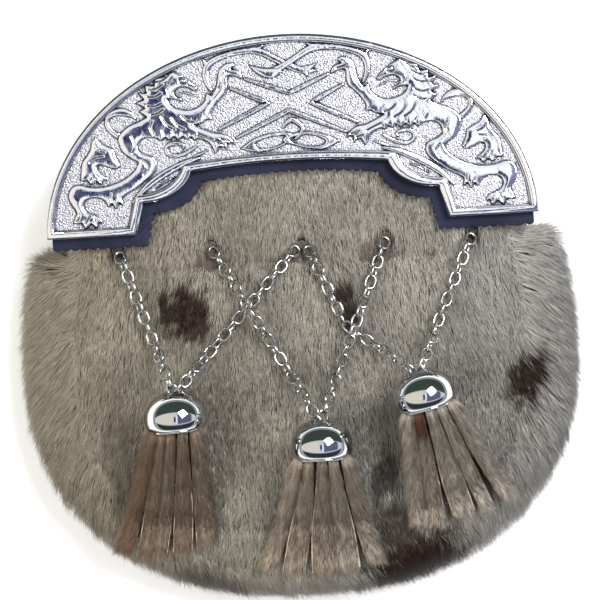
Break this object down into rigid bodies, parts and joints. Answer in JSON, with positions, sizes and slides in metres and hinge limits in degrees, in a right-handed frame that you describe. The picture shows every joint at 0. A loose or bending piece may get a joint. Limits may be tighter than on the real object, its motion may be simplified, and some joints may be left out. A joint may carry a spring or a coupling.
{
  "type": "sporran pouch",
  "caption": "Dress sporran: a rounded fur pouch under a cast half-ellipse cantle, with crossed chains and bell-capped fur tassels.",
  "frame": {"origin": "on the surface that the pouch lies on, under the middle of the whole object's box", "axes": "+Z out of the front, +Y towards the crown of the cantle, +X to the right of someone looking at the front"},
  "size_m": [0.187, 0.1883, 0.0582],
  "materials": {
    "cast_silver": "cast relief, polished high spots, darkened recesses",
    "polished_cap": "mirror polished",
    "chain_metal": "plated wire",
    "black_leather": "grained, semi-gloss",
    "seal_fur": "short lying hair, grey-beige with dark brown spots",
    "tassel_fur": "short lying hair on cut hide strips"
  },
  "bodies": {
    "root": {"cantle": "cast_silver", "leather_trim": "black_leather", "front_panel": "seal_fur", "gusset": "seal_fur", "back_panel": "black_leather", "belt_loop_left": "black_leather", "belt_loop_right": "black_leather", "chain_left": "chain_metal", "chain_middle": "chain_metal", "chain_right": "chain_metal", "tassel_cap_left": "polished_cap", "tassel_cap_middle": "polished_cap", "tassel_cap_right": "polished_cap", "tassel_strips_left": "tassel_fur", "tassel_strips_middle": "tassel_fur", "tassel_strips_right": "tassel_fur"}
  },
  "joints": []
}
